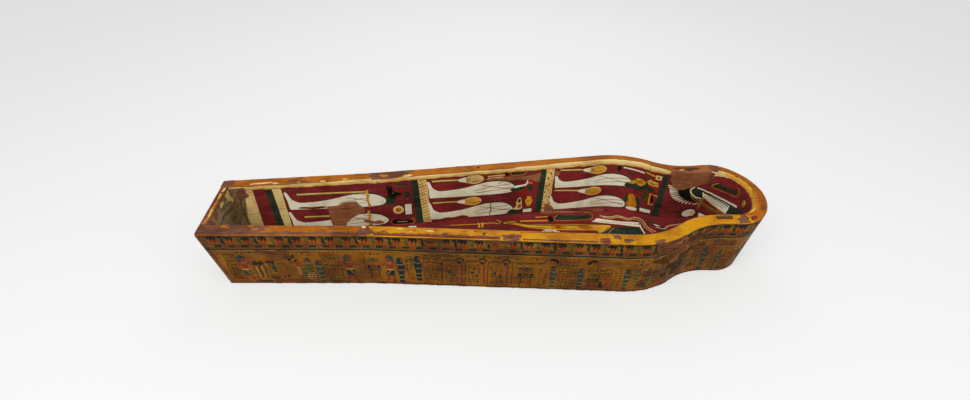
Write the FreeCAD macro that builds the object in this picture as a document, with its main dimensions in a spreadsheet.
import FreeCAD, Part
import math
import os
import Sketcher

# The lower half of a painted wooden mummy-shaped case, lying on its back and open at the top.
# Its side walls are planks and carved blocks, set end to end round a floor and joined with
# loose tongues and pegs. X runs from the foot to the head, Z is up, and the origin is on the
# ground under the middle of the case.

doc = FreeCAD.newDocument("mummy_case")

# Driving dimensions, in millimetres
DIMENSIONS = [
    ("length", 1870, "foot end to crown, along the rim"),
    ("height", 240, "ground to rim"),
    ("foot_half_width", 135, "half the rim's width at the foot"),
    ("leg_joint_half_width", 161, "half the rim's width where the leg plank ends"),
    ("shoulder_half_width", 240, "half the rim's width at the shoulders"),
    ("neck_half_width", 157.5, "half the rim's width at the neck"),
    ("head_swell", 3.5, "how far the head stands out past the neck"),
    ("shoulder_to_crown", 491, "widest place of the shoulders, back from the crown"),
    ("neck_to_crown", 210, "narrowest place of the neck, back from the crown"),
    ("shoulder_radius", 300, "bend of the shoulders"),
    ("head_corner_radius", 120, "bend between the side of the head and the crown"),
    ("crown_rise", 18, "how far the crown bulges past the head's corners"),
    ("wall_thickness", 40, "side walls and head"),
    ("wall_lean", 10, "how far the side walls draw in from rim to ground"),
    ("head_lean", 28, "how far the crown draws in from rim to ground"),
    ("rim_easing", 4, "worn edge along the outside of the rim"),
    ("base_easing", 6, "worn edge along the ground"),
    ("foot_lean", 40, "how far the footboard leans out from ground to rim"),
    ("foot_thickness", 22, "footboard"),
    ("floor_thickness", 23, "floor boards"),
    ("floor_board_width", 130, "each of the two long floor boards"),
    ("leg_plank_length", 525, "foot end to the first joint"),
    ("shoulder_joint_to_crown", 600, "joint of thigh plank and shoulder block, back from the crown"),
    ("neck_joint_to_crown", 345, "joint of shoulder block and neck block, back from the crown"),
    ("head_joint_to_crown", 125, "joint of neck block and head, back from the crown"),
    ("head_course_height", 118, "lower of the two head boards"),
    ("tongue_length", 70, "loose tongues, along the wall"),
    ("tongue_width", 40, "loose tongues, up the wall"),
    ("tongue_thickness", 9, "loose tongues"),
    ("tongue_low", 68, "height of the lower tongues' middle"),
    ("tongue_high", 168, "height of the upper tongues' middle"),
    ("peg_diameter", 8, "pegs through the tongues"),
    ("peg_recess", 2, "how far the pegs' ends stay below the wood's surface"),
    ("peg_from_joint", 18, "pegs, along the wall from the joint"),
    ("dowel_diameter", 10, "dowels of floor, foot and head"),
    ("dowel_bite", 30, "how far a dowel reaches into the floor or footboard"),
    ("end_dowel_offset", 43, "dowels at the floor's ends, out from the centre line"),
    ("end_dowel_recess", 6, "how far those dowels' outer ends stay below the surface"),
    ("foot_dowel_margin", 53, "outer dowels of the footboard, in from ground and rim"),
    ("head_dowel_length", 80, "upright dowels between the head boards"),
    ("head_dowel_turn", 36, "degrees round the head's corner between its two upright dowels"),
    ("wing_dowel_step", 90, "from one dowel of a floor wing to the next"),
    ("wing_dowel_back", 22, "middle one of them, back from the widest place of the shoulders"),
    ("floor_tongue_length", 64, "tongues between the floor boards, across the seam"),
    ("floor_tongue_width", 44, "tongues between the floor boards, along the seam"),
    ("floor_tongue_thickness", 7, "tongues between the floor boards"),
    ("fit_gap", 0.3, "play round every tongue, peg and dowel"),
    ("lid_slot_to_crown", 194, "middle of the lid's tongue slot, back from the crown"),
    ("lid_slot_length", 54, "lid's tongue slot, along the rim"),
    ("lid_slot_width", 11, "lid's tongue slot, across the rim"),
    ("lid_slot_depth", 58, "lid's tongue slot, down from the rim"),
    ("lid_peg_to_crown", 982, "lid's peg hole, back from the crown"),
    ("lid_peg_diameter", 10, "lid's peg hole"),
    ("lid_peg_depth", 45, "lid's peg hole, down from the rim"),
]

sheet = doc.addObject("Spreadsheet::Sheet", "Sizes")
for row, (alias, value, meaning) in enumerate(DIMENSIONS, start=1):
    sheet.set(f"A{row}", meaning)
    sheet.set(f"B{row}", str(value))
    sheet.setAlias(f"B{row}", alias)
doc.recompute()


def size(alias):
    """A driving dimension as a plain number."""
    return float(sheet.get(alias))


def bind(thing, **expressions):
    """Tie an object's properties to expressions on the sheet."""
    for prop, text in expressions.items():
        thing.setExpression(prop, text)


FOOT_X = -size("length") / 2
CROWN_X = size("length") / 2
LEG_JOINT_X = FOOT_X + size("leg_plank_length")
SHOULDER_JOINT_X = CROWN_X - size("shoulder_joint_to_crown")
NECK_JOINT_X = CROWN_X - size("neck_joint_to_crown")
HEAD_JOINT_X = CROWN_X - size("head_joint_to_crown")
UP = FreeCAD.Vector(0, 0, 1)
OVERRUN = 20


# The plan outline
# One side of the case in plan is a straight leg plank and a straight thigh plank, then a chain
# of tangent arcs for shoulder, neck, side of the head, its corner and the crown. Every other
# outline of the case is this one drawn parallel to it, inset towards the middle.

def plan_geometry(inset, lean):
    """Centres, radii and meeting points of the outline's lines and arcs, inset from the case's
    outside. The lean is 0 at the rim and 1 at the ground."""
    inset += lean * size("wall_lean")
    crown_x = CROWN_X - lean * (size("head_lean") - size("wall_lean"))
    shoulder_x = CROWN_X - size("shoulder_to_crown")
    neck_x = CROWN_X - size("neck_to_crown")
    head_half_width = size("neck_half_width") + size("head_swell")
    corner_radius = size("head_corner_radius")
    corner_x = crown_x - corner_radius - size("crown_rise")
    corner_y = head_half_width - corner_radius

    run = neck_x - shoulder_x
    drop = size("shoulder_half_width") - size("neck_half_width")
    both_radii = (run ** 2 + drop ** 2) / (2 * drop)
    neck_radius = both_radii - size("shoulder_radius")

    run = corner_x - neck_x
    above_corner = size("neck_half_width") - corner_y
    side_radius = (run ** 2 + above_corner ** 2 - corner_radius ** 2) / (2 * (corner_radius - above_corner))
    reach = crown_x - corner_x
    crown_radius = (reach ** 2 + corner_y ** 2 - corner_radius ** 2) / (2 * (reach - corner_radius))

    centre = {
        "shoulder": FreeCAD.Vector(shoulder_x, size("shoulder_half_width") - size("shoulder_radius"), 0),
        "neck": FreeCAD.Vector(neck_x, size("neck_half_width") + neck_radius, 0),
        "side": FreeCAD.Vector(neck_x, size("neck_half_width") + side_radius, 0),
        "corner": FreeCAD.Vector(corner_x, corner_y, 0),
        "crown": FreeCAD.Vector(crown_x - crown_radius, 0, 0),
    }
    radius = {
        "shoulder": size("shoulder_radius") - inset,
        "neck": neck_radius + inset,
        "side": side_radius + inset,
        "corner": corner_radius - inset,
        "crown": crown_radius - inset,
    }

    def between(first, second):
        """Where two arcs that bend opposite ways touch."""
        step = centre[second] - centre[first]
        return centre[first] + step * (radius[first] / step.Length)

    point = {
        "foot": FreeCAD.Vector(FOOT_X, size("foot_half_width") - inset, 0),
        "leg_joint": FreeCAD.Vector(LEG_JOINT_X, size("leg_joint_half_width") - inset, 0),
        "neck": FreeCAD.Vector(neck_x, size("neck_half_width") - inset, 0),
        "neck_start": between("shoulder", "neck"),
        "corner_start": between("corner", "side"),
        "crown": FreeCAD.Vector(crown_x - inset, 0, 0),
    }
    away = centre["shoulder"] - point["leg_joint"]
    heading = math.atan2(away.y, away.x) + math.asin(radius["shoulder"] / away.Length)
    thigh_run = math.sqrt(away.Length ** 2 - radius["shoulder"] ** 2)
    along_thigh = FreeCAD.Vector(math.cos(heading), math.sin(heading), 0)
    point["thigh_end"] = point["leg_joint"] + along_thigh * thigh_run
    out = centre["corner"] - centre["crown"]
    point["corner_end"] = centre["crown"] + out * (radius["crown"] / out.Length)
    return centre, radius, point


def wall_at(station, inset, lean):
    """Half width of the outline at a station along X, and the wall's heading there in degrees."""
    centre, radius, point = plan_geometry(inset, lean)
    for start, end in (("foot", "leg_joint"), ("leg_joint", "thigh_end")):
        if station <= point[end].x:
            step = point[end] - point[start]
            rise = step.y / step.x
            return point[start].y + rise * (station - point[start].x), math.degrees(math.atan(rise))
    for arc, end, bulge in (
        ("shoulder", "neck_start", 1),
        ("neck", "neck", -1),
        ("side", "corner_start", -1),
        ("corner", "corner_end", 1),
        ("crown", "crown", 1),
    ):
        if station <= point[end].x:
            off = station - centre[arc].x
            half_width = centre[arc].y + bulge * math.sqrt(radius[arc] ** 2 - off ** 2)
            return half_width, -bulge * math.degrees(math.asin(off / radius[arc]))
    raise ValueError(f"station {station} is past the crown")


def half_outline(body, name, lean, insets, level):
    """Draw one side of the plan, closed along the centre line, inset by the named sizes."""
    centre, radius, point = plan_geometry(sum(size(alias) for alias in insets), lean)
    inset_text = " + ".join([f"{lean} * Sizes.wall_lean"] + ["Sizes." + alias for alias in insets])
    crown_text = f"Sizes.length / 2 - {lean} * (Sizes.head_lean - Sizes.wall_lean)"
    sketch = body.newObject("Sketcher::SketchObject", name)
    ground = [plane for plane in body.Origin.OriginFeatures if plane.Role == "XY_Plane"][0]
    sketch.AttachmentSupport = [(ground, "")]
    sketch.MapMode = "FlatFace"
    if level:
        bind(sketch, **{".AttachmentOffset.Base.z": level})

    def arc(middle, size_of, start, end):
        """An arc that runs anticlockwise from start to end."""
        first = point[start] - middle
        last = point[end] - middle
        circle = Part.Circle(middle, UP, size_of)
        return Part.ArcOfCircle(circle, math.atan2(first.y, first.x), math.atan2(last.y, last.x))

    foot_middle = FreeCAD.Vector(FOOT_X, 0, 0)
    leg = sketch.addGeometry(Part.LineSegment(point["foot"], point["leg_joint"]))
    thigh = sketch.addGeometry(Part.LineSegment(point["leg_joint"], point["thigh_end"]))
    shoulder = sketch.addGeometry(arc(centre["shoulder"], radius["shoulder"], "neck_start", "thigh_end"))
    neck = sketch.addGeometry(arc(centre["neck"], radius["neck"], "neck_start", "neck"))
    side = sketch.addGeometry(arc(centre["side"], radius["side"], "neck", "corner_start"))
    corner = sketch.addGeometry(arc(centre["corner"], radius["corner"], "corner_end", "corner_start"))
    crown = sketch.addGeometry(arc(centre["crown"], radius["crown"], "crown", "corner_end"))
    axis = sketch.addGeometry(Part.LineSegment(point["crown"], foot_middle))
    foot = sketch.addGeometry(Part.LineSegment(foot_middle, point["foot"]))

    START, END, CENTRE = 1, 2, 3
    ORIGIN = (-1, 1)
    X_AXIS = -1
    for first, second in (
        ((leg, END), (thigh, START)),
        ((crown, START), (axis, START)),
        ((axis, END), (foot, START)),
        ((foot, END), (leg, START)),
    ):
        sketch.addConstraint(Sketcher.Constraint("Coincident", *first, *second))
    for first, second in (
        ((thigh, END), (shoulder, END)),
        ((shoulder, START), (neck, START)),
        ((neck, END), (side, START)),
        ((side, END), (corner, END)),
        ((corner, START), (crown, END)),
    ):
        sketch.addConstraint(Sketcher.Constraint("Tangent", *first, *second))
    for on_axis in ((axis, START), (axis, END), (crown, CENTRE)):
        sketch.addConstraint(Sketcher.Constraint("PointOnObject", *on_axis, X_AXIS))
    sketch.addConstraint(Sketcher.Constraint("Vertical", foot))
    sketch.addConstraint(Sketcher.Constraint("Vertical", neck, END, neck, CENTRE))

    def measure(kind, spot, value, text):
        """Give a point or an arc a size that follows the sheet."""
        if kind == "Radius":
            index = sketch.addConstraint(Sketcher.Constraint("Radius", spot, value))
        else:
            index = sketch.addConstraint(Sketcher.Constraint(kind, *ORIGIN, *spot, value))
        sketch.setExpression(f"Constraints[{index}]", text)

    half = "Sizes.length / 2"
    measure("DistanceX", (leg, START), point["foot"].x, f"-{half}")
    measure("DistanceY", (leg, START), point["foot"].y, f"Sizes.foot_half_width - ({inset_text})")
    measure("DistanceX", (leg, END), point["leg_joint"].x, f"Sizes.leg_plank_length - {half}")
    measure("DistanceY", (leg, END), point["leg_joint"].y, f"Sizes.leg_joint_half_width - ({inset_text})")
    measure("DistanceX", (shoulder, CENTRE), centre["shoulder"].x, f"{half} - Sizes.shoulder_to_crown")
    measure("DistanceY", (shoulder, CENTRE), centre["shoulder"].y,
            "Sizes.shoulder_half_width - Sizes.shoulder_radius")
    measure("Radius", shoulder, radius["shoulder"], f"Sizes.shoulder_radius - ({inset_text})")
    measure("DistanceX", (neck, END), point["neck"].x, f"{half} - Sizes.neck_to_crown")
    measure("DistanceY", (neck, END), point["neck"].y, f"Sizes.neck_half_width - ({inset_text})")
    measure("DistanceX", (corner, CENTRE), centre["corner"].x,
            f"{crown_text} - Sizes.head_corner_radius - Sizes.crown_rise")
    measure("DistanceY", (corner, CENTRE), centre["corner"].y,
            "Sizes.neck_half_width + Sizes.head_swell - Sizes.head_corner_radius")
    measure("Radius", corner, radius["corner"], f"Sizes.head_corner_radius - ({inset_text})")
    measure("DistanceX", (crown, START), point["crown"].x, f"{crown_text} - ({inset_text})")
    return sketch


def lofted_form(name, sections):
    """One side of the case as a solid with leaning sides, through outlines from the ground up.
    A section has a name, its lean, the sizes that it is inset by, and its height."""
    body = doc.addObject("PartDesign::Body", name)
    outlines = []
    for part, lean, insets, level in sections:
        outlines.append(half_outline(body, f"{name}_{part}", lean, insets, level))
    doc.recompute()
    loft = body.newObject("PartDesign::AdditiveLoft", name + "_loft")
    loft.Profile = outlines[0]
    loft.Sections = outlines[1:]
    loft.Ruled = True
    doc.recompute()
    return body


case_form = lofted_form("case_form", [
    ("ground", 1, ["base_easing"], None),
    ("above_ground", 1, [], "Sizes.base_easing"),
    ("below_rim", 0, [], "Sizes.height - Sizes.rim_easing"),
    ("rim", 0, ["rim_easing"], "Sizes.height"),
])
cavity_form = lofted_form("cavity_form", [
    ("ground", 1, ["wall_thickness"], None),
    ("rim", 0, ["wall_thickness"], "Sizes.height"),
])
floor_form = lofted_form("floor_form", [
    ("ground", 1, ["wall_thickness", "fit_gap"], None),
    ("rim", 0, ["wall_thickness", "fit_gap"], "Sizes.height"),
])


# Helpers for primitives and booleans

def box(name, corner, spans):
    """A box at a corner, both given as expressions on the sheet."""
    solid = doc.addObject("Part::Box", name)
    bind(solid, Length=spans[0], Width=spans[1], Height=spans[2])
    for letter, place in zip("xyz", corner):
        solid.setExpression(".Placement.Base." + letter, place)
    return solid


def turned_box(name, middle, heading, spans):
    """A box about its middle point, turned in plan. Its three spans are expressions."""
    solid = doc.addObject("Part::Box", name)
    bind(solid, Length=spans[0], Width=spans[1], Height=spans[2])
    doc.recompute([solid])
    half = FreeCAD.Vector(solid.Length.Value, solid.Width.Value, solid.Height.Value) * 0.5
    turn = FreeCAD.Rotation(UP, heading)
    solid.Placement = FreeCAD.Placement(middle - turn.multVec(half), turn)
    return solid


def drilled(name, start, direction, radius, reach):
    """A round hole's tool, from a start point along a direction. Radius and length are expressions."""
    solid = doc.addObject("Part::Cylinder", name)
    bind(solid, Radius=radius, Height=reach)
    solid.Placement = FreeCAD.Placement(start, FreeCAD.Rotation(UP, direction))
    return solid


def whittled(name, start, direction, radius, reach):
    """A peg or dowel cut to eight sides, whose edges reach the given radius."""
    solid = doc.addObject("Part::Prism", name)
    solid.Polygon = 8
    bind(solid, Circumradius=radius, Height=reach)
    solid.Placement = FreeCAD.Placement(start, FreeCAD.Rotation(UP, direction))
    return solid


def cut(name, base, tool):
    result = doc.addObject("Part::Cut", name)
    result.Base = base
    result.Tool = tool
    return result


def common(name, base, tool):
    result = doc.addObject("Part::Common", name)
    result.Base = base
    result.Tool = tool
    return result


def fuse(name, shapes):
    result = doc.addObject("Part::MultiFuse", name)
    result.Shapes = shapes
    result.Refine = True
    return result


def mirrored(name, source):
    result = doc.addObject("Part::Mirroring", name)
    result.Source = source
    result.Normal = FreeCAD.Vector(0, 1, 0)
    return result


def group(name, shapes):
    result = doc.addObject("Part::Compound", name)
    result.Links = shapes
    return result


# The leaning foot end
# Two prisms stand outside the footboard's outer face and its inner face.

def foot_prism(name, depth):
    """Everything on the foot side of a leaning plane, a depth in from the footboard's outer face."""
    sketch = doc.addObject("Sketcher::SketchObject", name + "_profile")
    upright = FreeCAD.Rotation(FreeCAD.Vector(1, 0, 0), 90)
    sketch.Placement = FreeCAD.Placement(FreeCAD.Vector(0, 0, 0), upright)
    back = FOOT_X - OVERRUN
    offset = size(depth) if depth else 0
    corners = [
        FreeCAD.Vector(back, 0, 0),
        FreeCAD.Vector(FOOT_X + size("foot_lean") + offset, 0, 0),
        FreeCAD.Vector(FOOT_X + offset, size("height"), 0),
        FreeCAD.Vector(back, size("height"), 0),
    ]
    for index, start in enumerate(corners):
        sketch.addGeometry(Part.LineSegment(start, corners[(index + 1) % 4]))
    for index in range(4):
        sketch.addConstraint(Sketcher.Constraint("Coincident", index, 2, (index + 1) % 4, 1))
    sketch.addConstraint(Sketcher.Constraint("Horizontal", 0))
    sketch.addConstraint(Sketcher.Constraint("Horizontal", 2))
    sketch.addConstraint(Sketcher.Constraint("Vertical", 3))
    sketch.addConstraint(Sketcher.Constraint("PointOnObject", 0, 1, -1))
    depth_text = f"Sizes.{depth}" if depth else "0"
    for kind, spot, value, text in (
        ("DistanceX", (0, 1), back, f"-Sizes.length / 2 - {OVERRUN}"),
        ("DistanceX", (0, 2), corners[1].x, f"Sizes.foot_lean + {depth_text} - Sizes.length / 2"),
        ("DistanceX", (1, 2), corners[2].x, f"{depth_text} - Sizes.length / 2"),
        ("DistanceY", (1, 2), corners[2].y, "Sizes.height"),
    ):
        number = sketch.addConstraint(Sketcher.Constraint(kind, -1, 1, *spot, value))
        sketch.setExpression(f"Constraints[{number}]", text)
    prism = doc.addObject("Part::Extrusion", name)
    prism.Base = sketch
    prism.DirMode = "Custom"
    prism.Dir = FreeCAD.Vector(0, 1, 0)
    prism.Solid = True
    prism.Symmetric = True
    prism.setExpression("LengthFwd", "Sizes.shoulder_half_width * 2")
    return prism


foot_trim = foot_prism("foot_trim", None)
foot_space = foot_prism("foot_space", "foot_thickness")
walls = cut("walls", cut("wall_shell", case_form, cavity_form), foot_trim)
between_walls = fuse("between_walls", [floor_form, mirrored("floor_form_mirror", floor_form)])


# Joints of the side walls
# At each joint two loose tongues lie half in one piece and half in the next, and two pegs go
# through each tongue, square to the wall.

def lean_at(level):
    """The lean at a height: 1 at the ground, 0 at the rim."""
    return 1 - level / size("height")


def mid_wall(station, level):
    """A point in the middle of the wall, the wall's heading there, and its outward direction."""
    half_width, heading = wall_at(station, size("wall_thickness") / 2, lean_at(level))
    outward = FreeCAD.Rotation(UP, heading).multVec(FreeCAD.Vector(0, 1, 0))
    return FreeCAD.Vector(station, half_width, level), heading, outward


LOOSE = "+ 2 * Sizes.fit_gap"
TONGUE = ("Sizes.tongue_length", "Sizes.tongue_thickness", "Sizes.tongue_width")
PEG_RADIUS = "Sizes.peg_diameter / 2"
DOWEL_RADIUS = "Sizes.dowel_diameter / 2"
HOLE_GAP = " + Sizes.fit_gap"
JOINTS = {
    "leg_joint": LEG_JOINT_X,
    "shoulder_joint": SHOULDER_JOINT_X,
    "neck_joint": NECK_JOINT_X,
    "head_joint": HEAD_JOINT_X,
}

wall_cuts = []
tongues = {}
pegs = []
for joint, station in JOINTS.items():
    tongues[joint] = []
    for course, level in (("low", size("tongue_low")), ("high", size("tongue_high"))):
        name = f"{joint}_{course}"
        middle, heading, outward = mid_wall(station, level)
        along = FreeCAD.Rotation(UP, heading).multVec(FreeCAD.Vector(1, 0, 0))
        blank = turned_box(name + "_blank", middle, heading, TONGUE)
        slot = turned_box(name + "_slot", middle, heading, [span + LOOSE for span in TONGUE])
        holes = []
        for end, way in (("a", -1), ("b", 1)):
            spot = middle + along * (way * size("peg_from_joint"))
            peg_half = size("wall_thickness") / 2 - size("peg_recess")
            hole_half = size("wall_thickness") / 2 + OVERRUN
            pegs.append(whittled(f"{name}_peg_{end}", spot - outward * peg_half, outward, PEG_RADIUS,
                                 "Sizes.wall_thickness - 2 * Sizes.peg_recess"))
            holes.append(drilled(f"{name}_hole_{end}", spot - outward * hole_half, outward,
                                 PEG_RADIUS + HOLE_GAP, f"Sizes.wall_thickness + 2 * {OVERRUN}"))
        tongues[joint].append(cut(name + "_tongue", blank, fuse(name + "_peg_holes", holes)))
        wall_cuts += [slot] + holes


# Dowels of the floor
# Each wall piece is pinned to the floor's edge from outside, evenly along its length.

WALL_PIECES = {
    "leg_plank": (FOOT_X + size("foot_lean") + size("foot_thickness"), LEG_JOINT_X, 2),
    "thigh_plank": (LEG_JOINT_X, SHOULDER_JOINT_X, 3),
    "shoulder_block": (SHOULDER_JOINT_X, NECK_JOINT_X, 1),
    "neck_block": (NECK_JOINT_X, HEAD_JOINT_X, 1),
}
floor_level = size("floor_thickness") / 2
floor_cuts = []
side_dowels = []


def wall_dowel(name, station, level):
    """A dowel from the wall's outside into what the wall stands against, and its hole's tool."""
    middle, heading, outward = mid_wall(station, level)
    outside = middle + outward * (size("wall_thickness") / 2)
    dowel = whittled(name, outside - outward * size("peg_recess"), -outward, DOWEL_RADIUS,
                     "Sizes.wall_thickness + Sizes.dowel_bite - Sizes.peg_recess")
    hole = drilled(name + "_hole", outside + outward * OVERRUN, -outward, DOWEL_RADIUS + HOLE_GAP,
                   f"Sizes.wall_thickness + Sizes.dowel_bite + {OVERRUN} + Sizes.fit_gap")
    return dowel, hole


for piece, (start, end, count) in WALL_PIECES.items():
    for number in range(count):
        station = start + (number + 0.5) * (end - start) / count
        dowel, hole = wall_dowel(f"{piece}_dowel_{number + 1}", station, floor_level)
        side_dowels.append(dowel)
        wall_cuts.append(hole)
        floor_cuts.append(hole)

# Dowels at the ends of the floor, through the footboard and the lower head board
end_dowels = []
foot_cuts = []
head_cuts = []
toward_head = FreeCAD.Vector(1, 0, 0)
foot_face_x = FOOT_X + size("foot_lean") * lean_at(floor_level)
head_face_x = CROWN_X - size("head_lean") * lean_at(floor_level)
for name, face_x, inward, board, cuts in (
    ("foot_end_dowel", foot_face_x, toward_head, "Sizes.foot_thickness", foot_cuts),
    ("head_end_dowel", head_face_x, -toward_head, "Sizes.wall_thickness", head_cuts),
):
    outside = FreeCAD.Vector(face_x, size("end_dowel_offset"), floor_level)
    end_dowels.append(whittled(name, outside + inward * size("end_dowel_recess"), inward, DOWEL_RADIUS,
                               f"{board} + Sizes.dowel_bite - Sizes.end_dowel_recess"))
    hole = drilled(name + "_hole", outside - inward * OVERRUN, inward, DOWEL_RADIUS + HOLE_GAP,
                   f"{board} + Sizes.dowel_bite + {OVERRUN} + Sizes.fit_gap")
    cuts.append(hole)
    floor_cuts.append(hole)

# Dowels through the ends of the leg planks into the footboard's edge
foot_dowels = []
foot_levels = (size("foot_dowel_margin"), size("height") / 2, size("height") - size("foot_dowel_margin"))
for number, level in enumerate(foot_levels, start=1):
    station = FOOT_X + size("foot_lean") * lean_at(level) + size("foot_thickness") / 2
    dowel, hole = wall_dowel(f"foot_dowel_{number}", station, level)
    foot_dowels.append(dowel)
    wall_cuts.append(hole)
    foot_cuts.append(hole)

# Upright dowels between the two head boards, at the head's corner
head_dowels = []
course_level = size("head_course_height")
corner_centre, corner_radius, _ = plan_geometry(size("wall_thickness") / 2, lean_at(course_level))
for number in range(2):
    name = f"head_dowel_{number + 1}"
    outward = FreeCAD.Rotation(UP, number * size("head_dowel_turn")).multVec(toward_head)
    start = corner_centre["corner"] + outward * corner_radius["corner"]
    start.z = course_level - size("head_dowel_length") / 2
    head_dowels.append(whittled(name, start, UP, DOWEL_RADIUS, "Sizes.head_dowel_length"))
    head_cuts.append(drilled(name + "_hole", start - UP * size("fit_gap"), UP,
                             DOWEL_RADIUS + HOLE_GAP, "Sizes.head_dowel_length" + LOOSE))

# The lid's tongue slot and peg hole, open at the rim
slot_x = CROWN_X - size("lid_slot_to_crown")
slot_middle, slot_heading, slot_outward = mid_wall(slot_x, size("height") - size("lid_slot_depth") / 2)
slot_middle.z += OVERRUN / 2
slot_spans = ("Sizes.lid_slot_length", "Sizes.lid_slot_width", f"Sizes.lid_slot_depth + {OVERRUN}")
wall_cuts.append(turned_box("lid_slot", slot_middle, slot_heading, slot_spans))
peg_bottom, peg_heading, peg_outward = mid_wall(CROWN_X - size("lid_peg_to_crown"), size("height"))
peg_bottom.z -= size("lid_peg_depth")
wall_cuts.append(drilled("lid_peg_hole", peg_bottom, UP, "Sizes.lid_peg_diameter / 2",
                         f"Sizes.lid_peg_depth + {OVERRUN}"))


# Side walls, made on one side and mirrored to the other
side_tools = fuse("side_tools", wall_cuts)
ENDS = {
    "leg_plank": ("-Sizes.length / 2", "Sizes.leg_plank_length"),
    "thigh_plank": ("Sizes.leg_plank_length - Sizes.length / 2",
                    "Sizes.length - Sizes.leg_plank_length - Sizes.shoulder_joint_to_crown"),
    "shoulder_block": ("Sizes.length / 2 - Sizes.shoulder_joint_to_crown",
                       "Sizes.shoulder_joint_to_crown - Sizes.neck_joint_to_crown"),
    "neck_block": ("Sizes.length / 2 - Sizes.neck_joint_to_crown",
                   "Sizes.neck_joint_to_crown - Sizes.head_joint_to_crown"),
}
nodes = {}
for piece, (start, run) in ENDS.items():
    reach = box(piece + "_reach", (start, "0", "0"), (run, "Sizes.shoulder_half_width", "Sizes.height"))
    nodes[piece + "_left"] = cut(piece + "_left", common(piece + "_blank", walls, reach), side_tools)
    nodes[piece + "_right"] = mirrored(piece + "_right", nodes[piece + "_left"])

# The head end, a horseshoe in two courses
head_reach = box("head_reach", ("Sizes.length / 2 - Sizes.head_joint_to_crown", "0", "0"),
                 ("Sizes.head_joint_to_crown", "Sizes.shoulder_half_width", "Sizes.height"))
head_tools = fuse("head_tools", wall_cuts + head_cuts)
head_half = cut("head_half", common("head_blank", walls, head_reach), head_tools)
head_whole = fuse("head_whole", [head_half, mirrored("head_mirror", head_half)])
for course, start, rise in (
    ("lower", "0", "Sizes.head_course_height"),
    ("upper", "Sizes.head_course_height", "Sizes.height - Sizes.head_course_height"),
):
    reach = box(f"head_{course}_reach", ("0", "-Sizes.shoulder_half_width", start),
                ("Sizes.length", "2 * Sizes.shoulder_half_width", rise))
    nodes[f"head_board_{course}"] = common(f"head_board_{course}", head_whole, reach)

# The footboard, held between the leg planks
foot_slab = cut("foot_slab", foot_space, foot_trim)
foot_holes = foot_cuts + [mirrored(hole.Name + "_mirror", hole) for hole in foot_cuts]
foot_blank = common("foot_blank", between_walls, foot_slab)
nodes["footboard"] = cut("footboard", foot_blank, fuse("foot_tools", foot_holes))

# The floor: two long boards that meet on the centre line, and a wing beside each at the shoulders
seam_tongues = []
seam_slots = []
seam_start = FOOT_X + size("foot_lean") + size("foot_thickness")
seam_end = CROWN_X - size("wall_thickness")
SEAM_TONGUES = 5
SEAM = ("Sizes.floor_tongue_width", "Sizes.floor_tongue_length", "Sizes.floor_tongue_thickness")
seam_step = (seam_end - seam_start) / SEAM_TONGUES
for number in range(SEAM_TONGUES):
    spot = FreeCAD.Vector(seam_start + (number + 0.5) * seam_step, 0, floor_level)
    seam_tongues.append(turned_box(f"seam_tongue_{number + 1}", spot, 0, SEAM))
    seam_slots.append(turned_box(f"seam_slot_{number + 1}", spot, 0, [span + LOOSE for span in SEAM]))

wing_dowels = []
shoulder_x = CROWN_X - size("shoulder_to_crown")
across = FreeCAD.Vector(0, 1, 0)
for number in (-1, 0, 1):
    name = f"wing_dowel_{number + 2}"
    station = shoulder_x - size("wing_dowel_back") + number * size("wing_dowel_step")
    start = FreeCAD.Vector(station, size("floor_board_width") - size("dowel_bite") / 2, floor_level)
    wing_dowels.append(whittled(name, start, across, PEG_RADIUS, "Sizes.dowel_bite"))
    floor_cuts.append(drilled(name + "_hole", start - across * size("fit_gap"), across,
                              PEG_RADIUS + HOLE_GAP, "Sizes.dowel_bite" + LOOSE))

floor_reach = box("floor_reach", ("-Sizes.length", "0", "0"),
                  ("2 * Sizes.length", "Sizes.shoulder_half_width", "Sizes.floor_thickness"))
floor_blank = cut("floor_blank", common("floor_slab", floor_form, floor_reach), foot_space)
floor_half = cut("floor_half", floor_blank, fuse("floor_tools", floor_cuts + seam_slots))
for piece, start, span in (
    ("floor_board", "0", "Sizes.floor_board_width"),
    ("floor_wing", "Sizes.floor_board_width", "Sizes.shoulder_half_width"),
):
    reach = box(piece + "_reach", ("-Sizes.length", start, "0"),
                ("2 * Sizes.length", span, "Sizes.floor_thickness"))
    nodes[piece + "_left"] = common(piece + "_left", floor_half, reach)
    nodes[piece + "_right"] = mirrored(piece + "_right", nodes[piece + "_left"])


# Tongues, pegs and dowels, as groups of equal pieces on both sides
def both_sides(name, shapes):
    return group(name, shapes + [mirrored(shape.Name + "_mirror", shape) for shape in shapes])


for joint, pieces in tongues.items():
    nodes[joint + "_tongues"] = both_sides(joint + "_tongues", pieces)
nodes["tongue_pegs"] = both_sides("tongue_pegs", pegs)
nodes["floor_side_dowels"] = both_sides("floor_side_dowels", side_dowels)
nodes["floor_end_dowels"] = both_sides("floor_end_dowels", end_dowels)
nodes["floor_wing_dowels"] = both_sides("floor_wing_dowels", wing_dowels)
nodes["foot_dowels"] = both_sides("foot_dowels", foot_dowels)
nodes["head_dowels"] = both_sides("head_dowels", head_dowels)
nodes["floor_tongues"] = group("floor_tongues", seam_tongues)

for label, node in nodes.items():
    node.Label = label
doc.recompute()

# Checks before anything is written
for thing in doc.Objects:
    if "Invalid" in thing.State or "Error" in thing.State:
        raise RuntimeError(f"{thing.Name} failed: {thing.State}")
for label, node in nodes.items():
    if node.Shape.isNull() or not node.Shape.isValid():
        raise RuntimeError(f"{label} has no valid shape")

os.makedirs("parts", exist_ok=True)
for label, node in nodes.items():
    node.Shape.exportStep(f"parts/{label}.step")
    solids = len(node.Shape.Solids)
    print(f"{label}: {solids} solid(s), {node.Shape.Volume / 1000:.1f} cubic centimetres")
